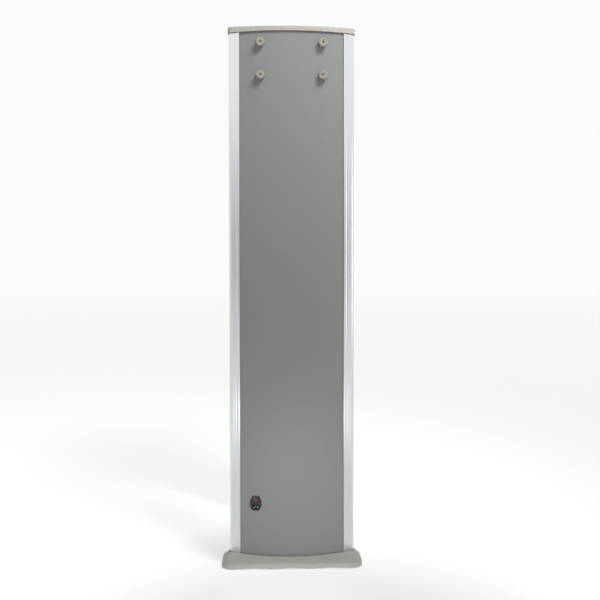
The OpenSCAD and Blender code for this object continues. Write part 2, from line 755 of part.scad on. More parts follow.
module front_panel() {
  color(sheet_grey) difference() {
    union() {
      difference() {
        box(-panel_half, panel_half, panel_y, -beam_y, panel_z, panel_top);
        box(panel_t - panel_half, panel_half - panel_t, back_y, -beam_y + 1, panel_z + panel_t,
            panel_top - panel_t);
      }
      at_panel_screws() along_y(panel_y + 1, -beam_y, 5);
    }
    on_display(panel_y - 1, back_y + 1, display_w, display_h);
    on_lens(panel_y - 1, back_y + 1, lens_w, lens_h);
    for (x = key_x) translate([x, 0, row_z]) along_y(panel_y - 1, back_y + 1, key_r + free);
    for (i = [-2:2])
      box(siren_x - 15, siren_x + 15, panel_y - 1, back_y + 1, row_z + 6 * i - 1.25, row_z + 6 * i + 1.25);
    at_panel_screws() along_y(panel_y - 1, 1 - beam_y, 1.9);
  }
}
module display_window() {
  color([0.05, 0.07, 0.08]) on_display(back_y, back_y + 2, display_w + 12, display_h + 12);
}
module display_board() {
  color(board_green) {
    box(display_x - display_w / 2 - 14, key_x[3] + 20, board_y, board_y + pcb_t, row_z - 40, row_z + 40);
    on_display(back_y + 3, board_y + eps, display_w - 8, 48);
    for (x = key_x) box(x - 3, x + 3, board_y - 3.5, board_y + eps, row_z - 3, row_z + 3);
  }
}
module alarm_lens() {
  color([0.7, 0.05, 0.04]) {
    on_lens(panel_y - 1.5, back_y + eps, lens_w - 2 * seat, lens_h - 2 * seat);
    on_lens(back_y, back_y + 3, lens_w + 8, lens_h + 8);
  }
}
module key(i) {
  translate([key_x[i], 0, row_z]) {
    along_y(panel_y - key_travel - 1, back_y + 1, key_r);
    along_y(back_y + 0.3, back_y + 1.8, key_r + 2);
    along_y(back_y + 1, board_y - 4 - key_travel, 3);
  }
}
module key_1() { color(black) key(0); }
module key_2() { color(black) key(1); }
module key_3() { color(black) key(2); }
module key_4() { color(black) key(3); }
module siren() {
  color(black) difference() {
    translate([siren_x, 0, row_z]) along_y(back_y, back_y + 16, siren_r);
    translate([siren_x, 0, row_z]) along_y(back_y - 1, back_y + 12, siren_r - 2);
  }
}
module service_door() {
  vent_l = 40;
  color(sheet_grey) difference() {
    union() {
      box(-door_half, door_half, door_y, door_y + door_t, beam_z + 12, beam_top - 4);
      for (x = knuckle_x) {
        box(x + knuckle_l + free, x + 2 * knuckle_l, door_y + 1, hinge_y - 2, hinge_z, beam_z + 20);
        translate([0, hinge_y, hinge_z]) along_x(x + knuckle_l + free, x + 2 * knuckle_l, knuckle_r);
      }
    }
    translate([0, hinge_y, hinge_z]) along_x(-door_half, door_half, hinge_r + run);
    translate([0, 0, lock_z]) along_y(door_y - 1, door_y + door_t + 1, lock_r + run);
    for (side = [-1, 1], i = [-2:2], j = [0:2])
      translate([side * 190 + i * 55, 0, beam_z + 60 + 22 * j])
        box(-vent_l / 2, vent_l / 2, door_y - 1, door_y + door_t + 1, 0, 4);
  }
}
module door_hinge_pin() {
  color(steel) translate([0, hinge_y, hinge_z])
    along_x(knuckle_x[0] - 2, knuckle_x[2] + 2 * knuckle_l + 2, hinge_r);
}
module door_lock() {
  color(silver) translate([0, 0, lock_z]) difference() {
    union() {
      along_y(door_y + door_t + 0.3, door_y + door_t + 3, lock_r + 3);
      along_y(door_y - 12, door_y + door_t + 1, lock_r);
      box(-5, 20, door_y - 9, door_y - 6.5, -5, 5);
    }
    box(-0.8, 0.8, door_y + door_t - 4, door_y + door_t + 4, -4, 4);
  }
}
stand_h = 10;
mother_y0 = -20;
mother_y1 = beam_y - 20;
mother_z = floor_z + stand_h;
module main_board() {
  color(board_green) {
    box(mother_x0, mother_x1, mother_y0, mother_y1, mother_z, mother_z + pcb_t);
    for (x = [mother_x0, mother_x1 - 14])
      box(x, x + 14, wire_y - 20, wire_y + 20, mother_z + pcb_t - eps, mother_z + 14);
    for (i = [0:3]) translate([mother_x0 + 50 + 60 * i, mother_y0 + 20, 0])
      box(0, 30, 0, 30, mother_z + pcb_t - eps, mother_z + 5);
    for (i = [0:4]) translate([mother_x0 + 60 + 50 * i, mother_y1 - 22, mother_z + pcb_t - eps])
      cylinder(h = 22, r = 8);
  }
}
module power_supply() {
  color(silver) difference() {
    box(supply_x0, supply_x1, -beam_y + 40, -beam_y + 138, floor_z, floor_z + supply_h);
    for (i = [0:7]) translate([supply_x0 + 14 + 16 * i, 0, floor_z + supply_h])
      box(0, 8, -beam_y + 52, -beam_y + 126, -1.5, 1);
  }
}
module board_standoffs() {
  color(steel) {
    for (x = [mother_x0 + 10, mother_x1 - 10], y = [mother_y0 + 8, mother_y1 - 8])
      translate([x, y, floor_z]) cylinder(h = stand_h, r = 3.5);
    for (x = [display_x - display_w / 2 - 9, key_x[3] + 15], z = [row_z - 35, row_z + 35])
      translate([x, 0, z]) along_y(back_y, board_y, 3);
  }
}
module panel_screws() {
  color(steel) at_panel_screws() {
    along_y(panel_y - 2, panel_y, 3.6);
    along_y(panel_y - 1, -beam_y + 4, 1.6);
  }
}
module cable_grommets() {
  color(black) both() at_wires() difference() {
    union() {
      along_x(board_in - sheet_t - 2, board_in - sheet_t, wire_hole_r + 2);
      along_x(board_in - sheet_t - 1, board_in + 2, wire_hole_r - seat);
    }
    along_x(-20, 20, cable_r + seat);
  }
}

outer_board_right();
outer_board_left();
inner_board_right();
inner_board_left();
front_profile_right();
rear_profile_right();
front_profile_left();
rear_profile_left();
top_cap_right();
top_cap_left();
foot_cover_right();
foot_cover_left();
foot_plate_right();
foot_plate_left();
floor_pads();
head_blocks();
foot_blocks();
coil_cores();
transmit_coil();
receive_coil();
bolt_sleeves();
hand_bolt_right_1();
hand_bolt_right_2();
hand_bolt_right_3();
hand_bolt_right_4();
hand_bolt_left_1();
hand_bolt_left_2();
hand_bolt_left_3();
hand_bolt_left_4();
inlet_housing();
inlet_pins();
power_rocker();
fuse_drawer();
fuse();
inlet_screws();
power_cable();
coil_leads();
beam_emitters();
beam_receivers();
cap_screws();
foot_screws();
beam_shell();
weld_bushes();
front_panel();
display_window();
display_board();
alarm_lens();
key_1();
key_2();
key_3();
key_4();
siren();
service_door();
door_hinge_pin();
door_lock();
main_board();
power_supply();
board_standoffs();
panel_screws();
cable_grommets();
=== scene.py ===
"""Walk-through security gate: the detailed pieces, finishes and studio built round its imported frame."""

import json
import math

import bpy
from bpy.props import FloatProperty, FloatVectorProperty, IntProperty, PointerProperty
from mathutils import Matrix, Vector


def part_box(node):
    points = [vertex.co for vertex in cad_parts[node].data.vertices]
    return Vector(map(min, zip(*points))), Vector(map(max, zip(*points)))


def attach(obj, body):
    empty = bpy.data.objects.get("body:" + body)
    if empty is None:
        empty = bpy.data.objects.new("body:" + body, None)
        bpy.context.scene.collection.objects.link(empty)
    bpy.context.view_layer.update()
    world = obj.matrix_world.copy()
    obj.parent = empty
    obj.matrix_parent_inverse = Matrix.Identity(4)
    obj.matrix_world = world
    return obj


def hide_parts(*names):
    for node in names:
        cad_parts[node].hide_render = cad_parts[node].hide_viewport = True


bl_info = {
    "name": "Walk-through security gate",
    "version": (1, 0, 0),
    "blender": (4, 5, 0),
    "location": "3D Viewport > Sidebar > Security gate",
    "description": "Models the visible pieces, finishes and studio of a walk-through security gate",
    "category": "Object",
}

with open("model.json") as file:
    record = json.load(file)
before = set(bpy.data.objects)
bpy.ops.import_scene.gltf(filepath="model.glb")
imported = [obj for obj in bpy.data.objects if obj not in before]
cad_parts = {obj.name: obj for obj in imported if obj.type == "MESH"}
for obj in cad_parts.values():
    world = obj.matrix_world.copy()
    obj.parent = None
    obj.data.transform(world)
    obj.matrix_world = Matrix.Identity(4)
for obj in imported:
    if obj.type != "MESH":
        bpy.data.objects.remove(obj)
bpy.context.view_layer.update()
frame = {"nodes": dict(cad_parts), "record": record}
NODES = frame["nodes"]
SLOT_OF = {part["node"]: part["material_slot"] for part in frame["record"]["subparts"]}
GATE = "gate"
SIDES = ("right", "left")

# The frame's own sizes, in millimetres
MM = 0.001
HALF_PASSAGE = 360.0
GATE_TOP = 2220.0
HALF_LENGTH = 258.0
EDGE = 33.0
BOW = 25.0
FAR_CORNER = 12.0
NEAR_CORNER = 10.0
FACE_R = (HALF_LENGTH**2 + BOW**2) / (2 * BOW)
FACE_CX = EDGE + BOW - FACE_R
WALL = 2.5
BEAD_WIDTH = 11.0
BEAD = 1.2
BOARD_EDGE = 215.0
HOOK_IN = 6.9
HOOK_OUT = 8.9
WEB = 226.2
WEB_END = 228.2
PROFILE_Z = (12.0, 2217.0)
GROOVES = (20.5, 16.5, 12.5)
GROOVE = 0.5
CORNER_STEPS = 10
CAP_SLIP = 1.6
CAP_GROW = 4.0
CAP_LOW = 2195.0
CAP_CEILING = 2217.0
CAP_ARCH = 5.0
CAP_BREAK = 0.5
CAP_SIDE = 2.0
CAP_HOLE_R = 2.2
CAP_SCREW_R = 4.42
CAP_SINK = 2.2
CAP_SCREWS = ((24.0, -170.0), (24.0, 170.0))
FOOT_X = EDGE / 2
FOOT_BASE = (580.0, 162.0, 40.0)
FOOT_LAND = (526.0, 43.0, 14.0)
FOOT_LOW = 2.0
FOOT_RIM_TOP = 22.0
FOOT_TOP = 49.0
FOOT_WALL = 3.0
PLATE_TOP = 12.0
PAD_PITCH = 160.0
SHOULDER_REACH = 0.16
SHOULDER_LOW = 15.5
FLARE_START = 0.6
BOSS_R = (6.0, 2.5)

# The groove beside a profile's bead, as a place from the bead and a depth
BEAD_GROOVE = ((2.2, 0), (2.6, 0.5), (3.0, 0))

# Screw bosses under a foot cover, as a place from its middle and a height
FOOT_BOSSES = ((0, 272, 37), (0, -272, 37), (58, 0, 29), (-58, 0, 29))

# The underside of a foot cover's rim, from inside out, as an inset and a rise
RIM_PROFILE = ((FOOT_WALL, 0.4), (FOOT_WALL - 0.4, 0), (1.2, 0), (0.4, 0.4), (0, 1.4))

# A hand bolt's grip, as a place inwards from its face and a radius
GRIP_FACE = (
    (-5.0, 0.0), (-5.0, 3.9), (-0.8, 4.4), (-0.2, 4.6), (0.0, 5.2), (0.0, 7.4), (-0.1, 7.7),
    (-0.55, 8.1), (-0.6, 8.8), (-0.6, 10.0), (-0.5, 10.6), (-0.1, 11.0), (0.0, 11.4),
)
GRIP_EDGE = 3.0
GRIP_SHANK = ((-18.0, 9.6), (-18.3, 9.1), (-18.8, 9.0), (-22.0, 9.0), (-22.0, 0.0))

# The rim of the grip, as a place and how far its radius falls short of the widest
GRIP_RIM = ((-8.0, 0.0), (-15.0, 0.0), (-16.4, 0.3), (-17.5, 1.2), (-18.0, 2.4))
GRIP_RIB_BAND = 0.9
GRIP_RIB_SHAPE = 0.6

# The stud, and one turn of the grooves that stand for its thread
STUD_R = 4.0
STUD_START = ((-5.5, 0.0), (-5.5, 3.5), (-6.0, STUD_R), (-21.5, STUD_R))
THREAD_START = -24.0
THREAD_PITCH = 1.5
THREAD_END = 2.5
THREAD_GROOVE = ((0.0, STUD_R), (0.35, 3.55), (0.6, 3.55), (0.95, STUD_R))

# From here on in metres. The lines that split the front panel pass through its openings.
PANEL_ROW = 2.0805
PANEL_COLUMNS = (-0.120, 0.270)
PANEL_SCREW = 0.003
LENS_SILL = 0.006
LENS_HALF = 0.2098
LENS_MARGIN = 0.0042
LENS_RIB = 0.0006
LENS_FLANGE = 0.003

# The main board: its thickness, the strip that holds connectors, and where the capacitors begin
BOARD_T = 0.0019
CONNECTOR_STRIP = 0.020
CAPACITORS_FROM = 0.09

# Screws with a cross recess: their axis, the way they face, and the recess's span
CROSSED = (("cap_screws", 2, 1, 0.0034), ("foot_screws", 2, -1, 0.0034), ("panel_screws", 1, -1, 0.0036))
SCREW_SPACING = 0.012
SCREW_HEAD_AREA = 0.000008
RECESS_HALF = 0.0004
RECESS_DEPTH = 0.0012
RECESS_OVER = 0.0005

FINE_EDGE = 0.0003
PLAIN_EDGE = 0.0004
SIREN_EDGE = 0.0005
SOFT_EDGE = 0.0006
PAD_EDGE = 0.0008
FULL_EDGE = 0.0009
WELD = 0.00002

# The angle, in degrees, that leaves the facets of round parts alone
FACETS = 50.0

# Each softbox: its place, what it points at, its size and how wide it spreads in degrees
SOFTBOXES = {
    "overhead": ((1.8, 1.15, 4.05), (0.36, 0.0, 2.3), (1.3, 1.0), 80),
    "side": ((2.6, 3.2, 1.7), (0.36, 0.0, 1.3), (0.8, 2.4), 180),
    "low": ((1.3, 0.0, 0.32), (0.36, 0.0, 0.2), (0.8, 0.25), 100),
}


def select_only(*pieces):
    """Leaves edit mode, and selects these pieces and nothing else."""
    active = bpy.context.view_layer.objects.active
    if active and active.mode != "OBJECT":
        bpy.ops.object.mode_set(mode="OBJECT")
    bpy.ops.object.select_all(action="DESELECT")
    for piece in pieces:
        piece.select_set(True)
    if pieces:
        bpy.context.view_layer.objects.active = pieces[0]


def open_mesh(piece):
    """Goes into edit mode on a piece with all of it selected."""
    select_only(piece)
    bpy.ops.object.mode_set(mode="EDIT")
    bpy.ops.mesh.select_all(action="SELECT")


def close_mesh(outwards=True):
    """Comes back from edit mode, with the faces turned outwards."""
    if outwards:
        bpy.ops.mesh.select_all(action="SELECT")
        bpy.ops.mesh.normals_make_consistent(inside=False)
    bpy.ops.object.mode_set(mode="OBJECT")


def apply_modifier(piece, kind, **settings):
    """Adds one modifier to a piece and applies it."""
    select_only(piece)
    modifier = piece.modifiers.new(kind.title(), kind)
    for key, value in settings.items():
        setattr(modifier, key, value)
    bpy.ops.object.modifier_apply(modifier=modifier.name)


def round_edges(piece, width, segments=2, angle=30.0):
    """Rounds every edge that is sharper than an angle. The width is in metres."""
    apply_modifier(
        piece, "BEVEL", width=width, segments=segments, limit_method="ANGLE",
        angle_limit=math.radians(angle), use_clamp_overlap=False, miter_outer="MITER_ARC",
    )


def smooth(piece, angle=32.0, flat=False):
    """Shades a piece smooth, but for its sharper edges, and can keep its broad faces flat."""
    select_only(piece)
    bpy.ops.object.shade_smooth_by_angle(angle=math.radians(angle))
    if flat:
        apply_modifier(piece, "WEIGHTED_NORMAL", keep_sharp=True, weight=100)


def drop(piece):
    """Removes a tool that has done its work."""
    mesh = piece.data
    bpy.data.objects.remove(piece)
    bpy.data.meshes.remove(mesh)


def carve(piece, tools, operation="DIFFERENCE"):
    """Cuts tools out of a piece, or adds them to it, and removes them."""
    for tool in tools:
        apply_modifier(piece, "BOOLEAN", operation=operation, object=tool, solver="EXACT")
        drop(tool)


def block(low, high):
    """A box between two corners in metres, as a tool."""
    select_only()
    centre = [(a + b) / 2 for a, b in zip(low, high)]
    bpy.ops.mesh.primitive_cube_add(size=1, location=centre)
    piece = bpy.context.object
    piece.scale = [b - a for a, b in zip(low, high)]
    bpy.ops.object.transform_apply(location=True, rotation=True, scale=True)
    return piece


def rod(start, end, radius, tip=None):
    """A round bar or a cone between two points in metres, as a tool."""
    start, end = Vector(start), Vector(end)
    select_only()
    bpy.ops.mesh.primitive_cone_add(
        vertices=32, radius1=radius, radius2=radius if tip is None else tip, depth=(end - start).length
    )
    piece = bpy.context.object
    turn = (end - start).to_track_quat("Z", "Y").to_matrix().to_4x4()
    piece.matrix_world = Matrix.Translation((start + end) / 2) @ turn
    bpy.ops.object.transform_apply(location=True, rotation=True, scale=True)
    return piece


def prism(section, low, high):
    """A section, as (x, y) points in metres, extruded upwards between two heights."""
    select_only()
    bpy.ops.mesh.primitive_circle_add(vertices=len(section), fill_type="NGON")
    piece = bpy.context.object
    for vertex, (x, y) in zip(piece.data.vertices, section):
        vertex.co = (x, y, low)
    open_mesh(piece)
    bpy.ops.mesh.extrude_region_move(TRANSFORM_OT_translate={"value": (0, 0, high - low)})
    close_mesh()
    return piece


def loft(rings):
    """A closed skin through rings of points, with a face over each end. A ring of equal points is a pole."""
    columns, rows = len(rings[0]), len(rings) - 1
    select_only()
    bpy.ops.mesh.primitive_grid_add(x_subdivisions=columns, y_subdivisions=rows, size=1)
    piece = bpy.context.object
    for index, vertex in enumerate(piece.data.vertices):
        row, column = divmod(index, columns + 1)
        vertex.co = rings[row][column % columns]
    open_mesh(piece)
    bpy.ops.mesh.remove_doubles(threshold=WELD)
    bpy.ops.mesh.select_all(action="DESELECT")
    bpy.ops.mesh.select_non_manifold(
        extend=False, use_wire=False, use_multi_face=False, use_non_contiguous=False
    )
    bpy.ops.mesh.fill_holes(sides=0)
    close_mesh()
    return piece


def copy_of(source):
    """A copy of a piece with a mesh of its own."""
    piece = bpy.data.objects.new(source.name, source.data.copy())
    bpy.context.collection.objects.link(piece)
    return piece


def moved(source, offset=(0, 0, 0), flip=(1, 1, 1)):
    """A copy of a piece, mirrored about the frame's middle and moved."""
    piece = copy_of(source)
    piece.data.transform(Matrix.Translation(offset) @ Matrix.Diagonal((*flip, 1)))
    open_mesh(piece)
    close_mesh()
    return piece


def taken_from(node):
    """A copy of a CAD node, with its loose triangles joined up into whole faces."""
    piece = copy_of(NODES[node])
    piece.data.materials.clear()
    select_only(piece)
    bpy.ops.mesh.customdata_custom_splitnormals_clear()
    open_mesh(piece)
    bpy.ops.mesh.remove_doubles(threshold=WELD)
    bpy.ops.mesh.dissolve_limited(angle_limit=math.radians(0.6))
    close_mesh()
    return piece


def hand_over(piece, name, body, slot, *stands_for, look=None):
    """Names a finished piece, gives it its finish, and lets it ride on its body."""
    piece.name = piece.data.name = name
    piece.data.materials.clear()
    piece.data.materials.append(finish(look or slot))
    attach(piece, body)
    if stands_for:
        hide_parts(*stands_for)
    return piece


def split(piece, *planes):
    """Splits a piece's faces along planes, each an axis number and a place, so that none has a hole."""
    for axis, place in planes:
        point, normal = [0, 0, 0], [0, 0, 0]
        point[axis], normal[axis] = place, 1
        open_mesh(piece)
        bpy.ops.mesh.bisect(plane_co=point, plane_no=normal, threshold=0.000001)
        close_mesh(outwards=False)


def dress(node, edge, body=GATE, segments=2, angle=30.0, planes=()):
    """Replaces a CAD node by a copy of it with rounded edges."""
    piece = taken_from(node)
    round_edges(piece, edge, segments, angle)
    split(piece, *planes)
    smooth(piece, flat=True)
    return hand_over(piece, f"{node}_dressed", body, SLOT_OF[node], node)


# ---------------------------------------------------------------- finishes

_finishes = {}


class Nodes:
    """A small helper that lays out the nodes of a material or a world."""

    def __init__(self, owner):
        owner.use_nodes = True
        self.tree = owner.node_tree
        self.shader = self.tree.nodes.get("Principled BSDF")
        self.coords = self.add("TexCoord").outputs["Object"]

    def add(self, kind):
        return self.tree.nodes.new("ShaderNode" + kind)

    def join(self, output, socket):
        self.tree.links.new(output, socket)

    def pattern(self, kind, stretch=(1, 1, 1), offset=(0, 0, 0), **values):
        """Adds a procedural texture. The values are its sockets' and its own settings."""
        mapping = self.add("Mapping")
        mapping.inputs["Location"].default_value = offset
        mapping.inputs["Scale"].default_value = stretch
        self.join(self.coords, mapping.inputs["Vector"])
        node = self.add("Tex" + kind)
        self.join(mapping.outputs["Vector"], node.inputs["Vector"])
        for key, value in values.items():
            if key in node.inputs:
                node.inputs[key].default_value = value
            else:
                setattr(node, key, value)
        return node.outputs[0]

    def between(self, value, low, high, start=0.0, end=1.0):
        """Maps a value from one range to another."""
        node = self.add("MapRange")
        self.join(value, node.inputs["Value"])
        for key, number in (("From Min", start), ("From Max", end), ("To Min", low), ("To Max", high)):
            node.inputs[key].default_value = number
        return node.outputs["Result"]

    def reckon(self, operation, first, second):
        """Works one value out of two. The second may be a plain number."""
        node = self.add("Math")
        node.operation = operation
        self.join(first, node.inputs[0])
        if isinstance(second, float):
            node.inputs[1].default_value = second
        else:
            self.join(second, node.inputs[1])
        return node.outputs["Value"]

    def blend(self, value, first, second):
        """Turns a value into a mix of two colours."""
        node = self.add("ValToRGB")
        for element, position, colour in zip(node.color_ramp.elements, (0.3, 0.7), (first, second)):
            element.position = position
            element.color = (*colour, 1)
        self.join(value, node.inputs["Fac"])
        return node.outputs["Color"]

    def relief(self, height, depth):
        """Bumps the surface by a height, to a depth in metres."""
        node = self.add("Bump")
        node.inputs["Strength"].default_value = 1.0
        node.inputs["Distance"].default_value = depth
        self.join(height, node.inputs["Height"])
        self.join(node.outputs["Normal"], self.shader.inputs["Normal"])


def shade_of(colour, factor):
    """A colour made lighter or darker."""
    return [min(1.0, max(0.0, channel * factor)) for channel in colour]


def grained(
    name, colour, spread, mottle, rough, grain, stretch=(1, 1, 1), depth=0.00002, speckle=0.0, **shader
):
    """A surface with broad mottling, a fine grain in its relief and gloss, and faint speckles."""
    material = bpy.data.materials.new(name)
    made = Nodes(material)
    broad = made.pattern("Noise", Scale=mottle, Detail=3.0, Roughness=0.55)
    fine = made.pattern("Noise", stretch, Scale=grain, Detail=2.0, Roughness=0.6)
    if speckle:
        lit, unlit = 1 + speckle, 1 - speckle
        light = made.blend(fine, shade_of(colour, unlit), shade_of(colour, lit))
        dark = made.blend(fine, shade_of(colour, unlit - spread), shade_of(colour, lit - spread))
        mix = made.add("Mix")
        mix.data_type = "RGBA"
        made.join(broad, mix.inputs[0])
        made.join(light, mix.inputs[6])
        made.join(dark, mix.inputs[7])
        base = mix.outputs[2]
    else:
        base = made.blend(broad, shade_of(colour, 1 - spread), shade_of(colour, 1 + spread))
    made.join(base, made.shader.inputs["Base Color"])
    made.join(made.between(fine, *rough), made.shader.inputs["Roughness"])
    made.relief(fine, depth)
    for key, value in shader.items():
        made.shader.inputs[key.replace("_", " ")].default_value = value
    return material


# Each look: its colour or the setting that holds it, how far the mottling spreads and its scale, the range of
# its roughness, the scale of its grain, and what else differs
METAL = {"Metallic": 1.0}
LENGTHWISE = (1, 1, 0.004)
LOOKS = {
    "board_laminate": ("board", 0.03, 2.0, (0.40, 0.50), 1600.0, {"speckle": 0.035, "depth": 0.00001}),
    "profile_aluminium": (
        "aluminium", 0.02, 3.0, (0.27, 0.37), 900.0,
        {"stretch": LENGTHWISE, "depth": 0.00001, "Anisotropic": 0.4, **METAL},
    ),
    "cap_plastic": ("cap", 0.03, 9.0, (0.42, 0.55), 1100.0, {"depth": 0.00003}),
    "foot_plastic": ("foot", 0.03, 9.0, (0.45, 0.58), 1000.0, {"depth": 0.00004}),
    "plain_steel": ((0.62, 0.62, 0.63), 0.08, 60.0, (0.25, 0.4), 500.0, METAL),
    "chip_plastic": ((0.022, 0.022, 0.024), 0.1, 90.0, (0.45, 0.6), 1500.0, {}),
    "capacitor_sleeve": ((0.03, 0.04, 0.12), 0.15, 120.0, (0.25, 0.35), 900.0, {}),
    "connector_plastic": ((0.62, 0.60, 0.52), 0.05, 90.0, (0.4, 0.5), 1100.0, {}),
    "blackened_steel": ((0.05, 0.05, 0.055), 0.1, 60.0, (0.35, 0.5), 900.0, METAL),
    "rubber_pads": ((0.03, 0.03, 0.032), 0.1, 40.0, (0.7, 0.9), 1500.0, {"depth": 0.00004}),
    "core_wood": (
        (0.48, 0.34, 0.19), 0.25, 30.0, (0.6, 0.75), 400.0, {"stretch": (1, 1, 0.05), "depth": 0.0001}
    ),
    "coil_copper": (
        (0.50, 0.20, 0.08), 0.15, 60.0, (0.3, 0.45), 1400.0,
        {"stretch": (1, 1, 0.02), "depth": 0.0001, "Metallic": 0.7},
    ),
    "bolt_plastic": ("knob", 0.03, 40.0, (0.4, 0.52), 1400.0, {"depth": 0.00003}),
    "inlet_plastic": ("inlet", 0.10, 60.0, (0.32, 0.45), 1800.0, {}),
    "nickel_pins": ((0.72, 0.70, 0.66), 0.05, 90.0, (0.15, 0.28), 900.0, METAL),
    "rocker_red": ("rocker", 0.08, 80.0, (0.22, 0.32), 1500.0, {"depth": 0.00001, "Coat_Weight": 0.3}),
    "fuse_glass": ((0.75, 0.78, 0.78), 0.05, 80.0, (0.05, 0.12), 900.0, {"depth": 0.00001}),
    "cable_sheath": ((0.03, 0.03, 0.035), 0.1, 60.0, (0.45, 0.6), 1200.0, {}),
    "sensor_lens": (
        (0.06, 0.006, 0.010), 0.1, 60.0, (0.06, 0.12), 600.0, {"depth": 0.000005, "Coat_Weight": 0.5}
    ),
    "beam_paint": ("beam", 0.03, 6.0, (0.36, 0.46), 700.0, {"depth": 0.00003, "speckle": 0.02}),
    "window_acrylic": (
        (0.010, 0.012, 0.015), 0.2, 8.0, (0.05, 0.09), 300.0, {"depth": 0.000002, "Coat_Weight": 0.6}
    ),
    "circuit_board": ((0.02, 0.14, 0.06), 0.25, 160.0, (0.3, 0.4), 700.0, {"depth": 0.00003}),
    "alarm_red": ("lens", 0.08, 30.0, (0.10, 0.18), 500.0, {"depth": 0.000005, "Coat_Weight": 0.4}),
    "key_rubber": ((0.05, 0.05, 0.055), 0.08, 60.0, (0.5, 0.62), 1300.0, {"depth": 0.00003}),
}


def finish(look):
    """The material of one look, made once."""
    if look not in _finishes:
        colour, spread, mottle, rough, grain, more = LOOKS[look]
        if isinstance(colour, str):
            colour = getattr(bpy.context.scene.gate_colours, colour)
        _finishes[look] = grained(look, colour, spread, mottle, rough, grain, **more)
    return _finishes[look]


# ---------------------------------------------------------------- outlines


def arc(centre, radius, start, end, steps):
    """Points along an arc, in degrees."""
    turns = [math.radians(start + (end - start) * i / steps) for i in range(steps + 1)]
    return [(centre[0] + radius * math.cos(a), centre[1] + radius * math.sin(a)) for a in turns]


def face_x(y, inset=0.0):
    """How far out the bowed face lies at a place along the upright."""
    return FACE_CX + math.sqrt((FACE_R - inset) ** 2 - y * y)


def corner_centres(grow):
    """The corner centres of the upright's plan, and the angle at which the bowed face ends."""
    far_r = FAR_CORNER + grow
    far_y = HALF_LENGTH - FAR_CORNER
    far_x = FACE_CX + math.sqrt((FACE_R + grow - far_r) ** 2 - far_y**2)
    touch = math.degrees(math.atan2(far_y, far_x - FACE_CX))
    return (far_x, far_y), (NEAR_CORNER, HALF_LENGTH - NEAR_CORNER), touch


def plan(grow):
    """The upright's plan, grown by a distance, in millimetres from its inner face."""
    far, near, touch = corner_centres(grow)
    far_r, near_r = FAR_CORNER + grow, NEAR_CORNER + grow
    points = arc((FACE_CX, 0), FACE_R + grow, -touch, touch, 48)
    points += arc(far, far_r, touch, 90, CORNER_STEPS)[1:]
    points += arc(near, near_r, 90, 180, CORNER_STEPS)
    points += arc((near[0], -near[1]), near_r, 180, 270, CORNER_STEPS)
    points += arc((far[0], -far[1]), far_r, 270, 360 - touch, CORNER_STEPS)[:-1]
    return points


def placed(points, z):
    """Plan points in metres, in the right upright's place. The height is a number or a function of y."""
    return [
        ((HALF_PASSAGE + x) * MM, y * MM, (z(y) if callable(z) else z) * MM)
        for x, y in points
    ]


def profile_section():
    """The rear edge profile of the right upright: a thin channel with a bead and a hook for each board."""
    far, near, touch = corner_centres(0)
    inner_touch = corner_centres(-WALL)[2]

    def face(y, inset):
        return (face_x(y, inset), y)

    bead_end = BOARD_EDGE + BEAD_WIDTH
    skin = [face(BOARD_EDGE + BEAD_WIDTH * i / 4, -BEAD) for i in range(5)]
    skin += [face(bead_end, 0)] + [face(bead_end + past, depth) for past, depth in BEAD_GROOVE]
    last, face_end = bead_end + BEAD_GROOVE[-1][0], FACE_R * math.sin(math.radians(touch))
    skin += [face(last + (face_end - last) * i / 4, 0) for i in range(1, 4)]
    skin += arc(far, FAR_CORNER, touch, 90, CORNER_STEPS)
    for x in GROOVES:
        skin += [(x + GROOVE, HALF_LENGTH), (x, HALF_LENGTH - GROOVE), (x - GROOVE, HALF_LENGTH)]
    skin += arc(near, NEAR_CORNER, 90, 180, CORNER_STEPS)
    skin += [(0, BOARD_EDGE), (WALL, BOARD_EDGE), (WALL, WEB), (HOOK_IN, WEB), (HOOK_IN, BOARD_EDGE)]
    skin += [(HOOK_OUT, BOARD_EDGE), (HOOK_OUT, WEB_END), (WALL, WEB_END)]
    skin += arc(near, NEAR_CORNER - WALL, 180, 90, 8)
    skin += arc(far, FAR_CORNER - WALL, 90, inner_touch, 8)
    skin += [face(WEB_END, WALL), face(WEB_END, HOOK_OUT), face(BOARD_EDGE, HOOK_OUT)]
    skin += [face(BOARD_EDGE, HOOK_IN)]
    skin += [face(WEB, HOOK_IN), face(WEB, WALL), face(BOARD_EDGE, WALL)]
    return [((HALF_PASSAGE + x) * MM, y * MM) for x, y in skin]


def rounded_rectangle(length, width, radius):
    """A rounded rectangle round the foot's middle, with points along its sides, in millimetres."""
    half_l, half_w = length / 2 - radius, width / 2 - radius
    corners = []
    for number, (sx, sy) in enumerate(((1, 1), (-1, 1), (-1, -1), (1, -1))):
        centre = (FOOT_X + sx * half_w, sy * half_l)
        corners.append(arc(centre, radius, 90 * number, 90 * number + 90, CORNER_STEPS))
    points = []
    for corner, following, steps in zip(corners, corners[1:] + corners[:1], (6, 32, 6, 32)):
        (x, y), (goal_x, goal_y) = corner[-1], following[0]
        points += corner
        points += [(x + (goal_x - x) * i / steps, y + (goal_y - y) * i / steps) for i in range(1, steps)]
    return points


# ---------------------------------------------------------------- settings


def colour(name, description, default):
    return FloatVectorProperty(
        name=name, description=description, subtype="COLOR", size=3, min=0, max=1, default=default
    )


def length(name, description, default):
    return FloatProperty(
        name=name, description=description, unit="LENGTH", subtype="DISTANCE", min=0, default=default
    )


def strength(name, description, default):
    return FloatProperty(name=name, description=description, default=default)


def whole(name, description, least, default):
    return IntProperty(name=name, description=description, min=least, default=default)


